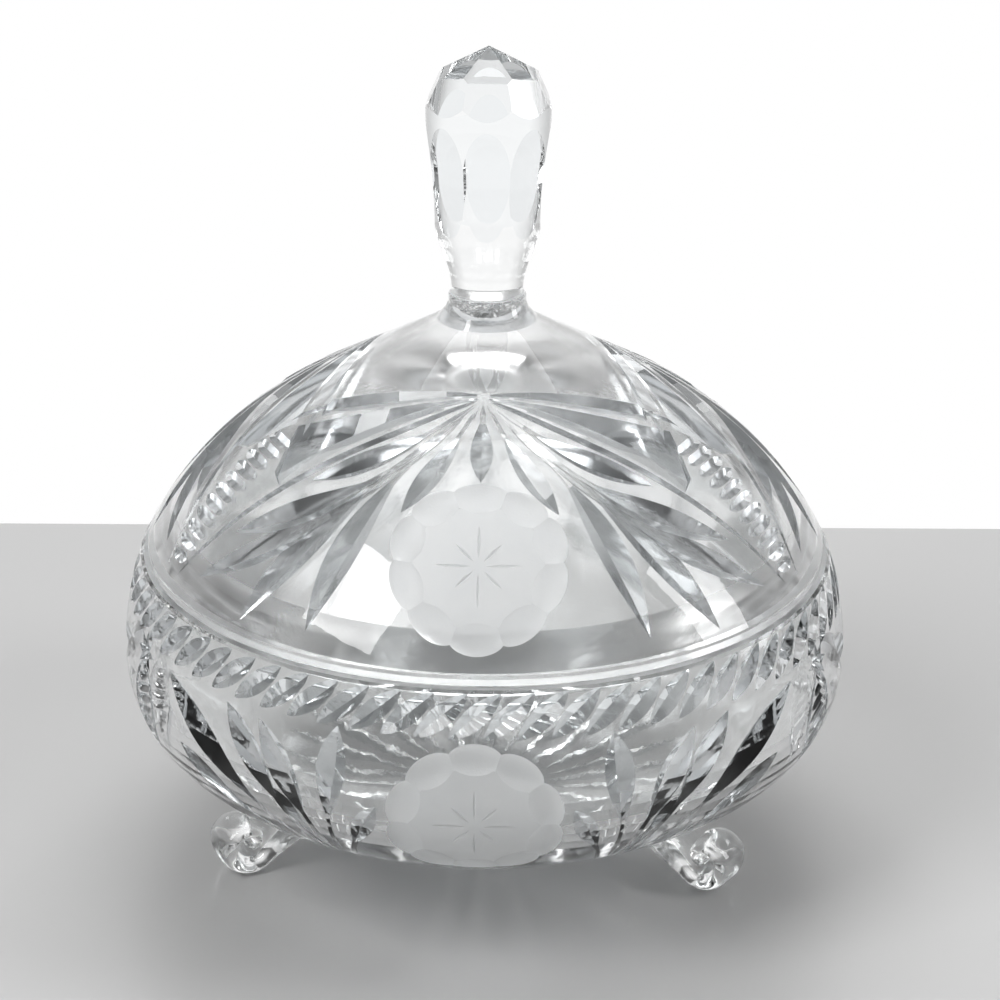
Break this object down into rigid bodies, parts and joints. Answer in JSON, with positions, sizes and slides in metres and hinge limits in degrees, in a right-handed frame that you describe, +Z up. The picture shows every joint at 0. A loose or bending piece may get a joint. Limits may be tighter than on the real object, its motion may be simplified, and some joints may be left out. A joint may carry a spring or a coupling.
{
  "type": "lidded candy dish",
  "caption": "Round covered candy dish in clear cut crystal: a shallow bowl on curled scroll feet and a domed lid that lifts off by its cut finial.",
  "frame": {"origin": "on the table, under the middle of the dish, in the plane of the feet's flats", "axes": "+Z up; -Y is the front, the side with the middle medallion between two feet; +X to the right seen from the front"},
  "size_m": [0.165, 0.165, 0.1853],
  "materials": {
    "crystal": "clear polished lead crystal with wheel cuts and frosted medallions"
  },
  "bodies": {
    "dish": {"bowl": "crystal", "foot_left": "crystal", "foot_right": "crystal", "foot_back": "crystal"},
    "cover": {"lid": "crystal", "finial": "crystal"}
  },
  "joints": [
    {"name": "lid_lift", "type": "slide", "parent": "dish", "child": "cover", "axis": [0, 0, 1], "range_m": [0, 0.15]}
  ]
}
